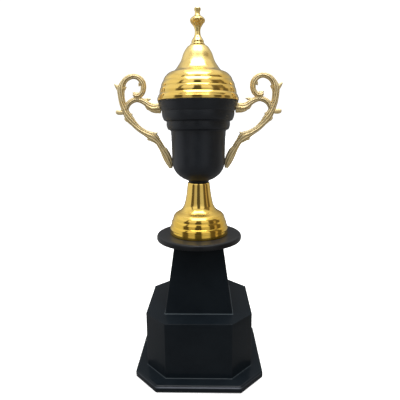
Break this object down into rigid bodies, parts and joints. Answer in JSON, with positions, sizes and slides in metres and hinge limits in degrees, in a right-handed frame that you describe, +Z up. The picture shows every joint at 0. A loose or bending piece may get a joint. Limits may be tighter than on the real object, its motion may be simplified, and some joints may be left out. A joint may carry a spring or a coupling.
{
  "type": "cup trophy",
  "caption": "Tall black and gold presentation cup with a lift-off domed lid, two scroll handles, a turned foot and disc, on a tapered column and stepped chamfered plinth.",
  "frame": {"origin": "centre of the rest plane under the felt pads, below the cup's own axis", "axes": "+Z up along the cup's axis; the handles lie in the XZ plane; -Y is the front"},
  "size_m": [0.2546, 0.199, 0.5564],
  "materials": {
    "gold_spun": "polished yellow-gold plate on spun sheet, clear lacquered",
    "gold_cast": "pale gold plate on a casting, slightly dulled in the recesses",
    "black_paint": "satin black baked enamel",
    "black_board": "satin black lacquer on fibreboard",
    "raw_wood": "sawn, unfinished",
    "felt": "dark wool felt",
    "seal": "matt",
    "steel": "bright zinc plate"
  },
  "bodies": {
    "trophy": {"felt_pads": "felt", "base_plate": "black_board", "base_screws": "steel", "plinth_front_panel": "black_board", "plinth_back_panel": "black_board", "plinth_left_panel": "black_board", "plinth_right_panel": "black_board", "plinth_corner_panels": "black_board", "plinth_top_panel": "black_board", "plinth_corner_blocks": "raw_wood", "column_front_panel": "black_board", "column_back_panel": "black_board", "column_left_panel": "black_board", "column_right_panel": "black_board", "column_bottom_block": "raw_wood", "column_top_block": "raw_wood", "column_screws": "steel", "top_disc": "black_board", "disc_screws": "steel", "tie_rod": "steel", "rod_bottom_washer": "steel", "rod_bottom_nut": "steel", "rod_top_washer": "steel", "rod_top_nut": "steel", "foot_shell": "gold_spun", "stem_gasket": "seal", "bowl_shell": "black_paint", "left_handle": "gold_cast", "right_handle": "gold_cast", "left_handle_screws": "steel", "right_handle_screws": "steel", "left_handle_washers": "steel", "right_handle_washers": "steel"},
    "lid": {"lid_shell": "gold_spun", "lid_locating_ring": "gold_spun", "finial": "gold_spun", "finial_screw": "steel", "finial_washer": "steel"}
  },
  "joints": [
    {"name": "lid_lift", "type": "slide", "parent": "trophy", "child": "lid", "axis": [0, 0, 1], "range_m": [0, 0.12]}
  ]
}
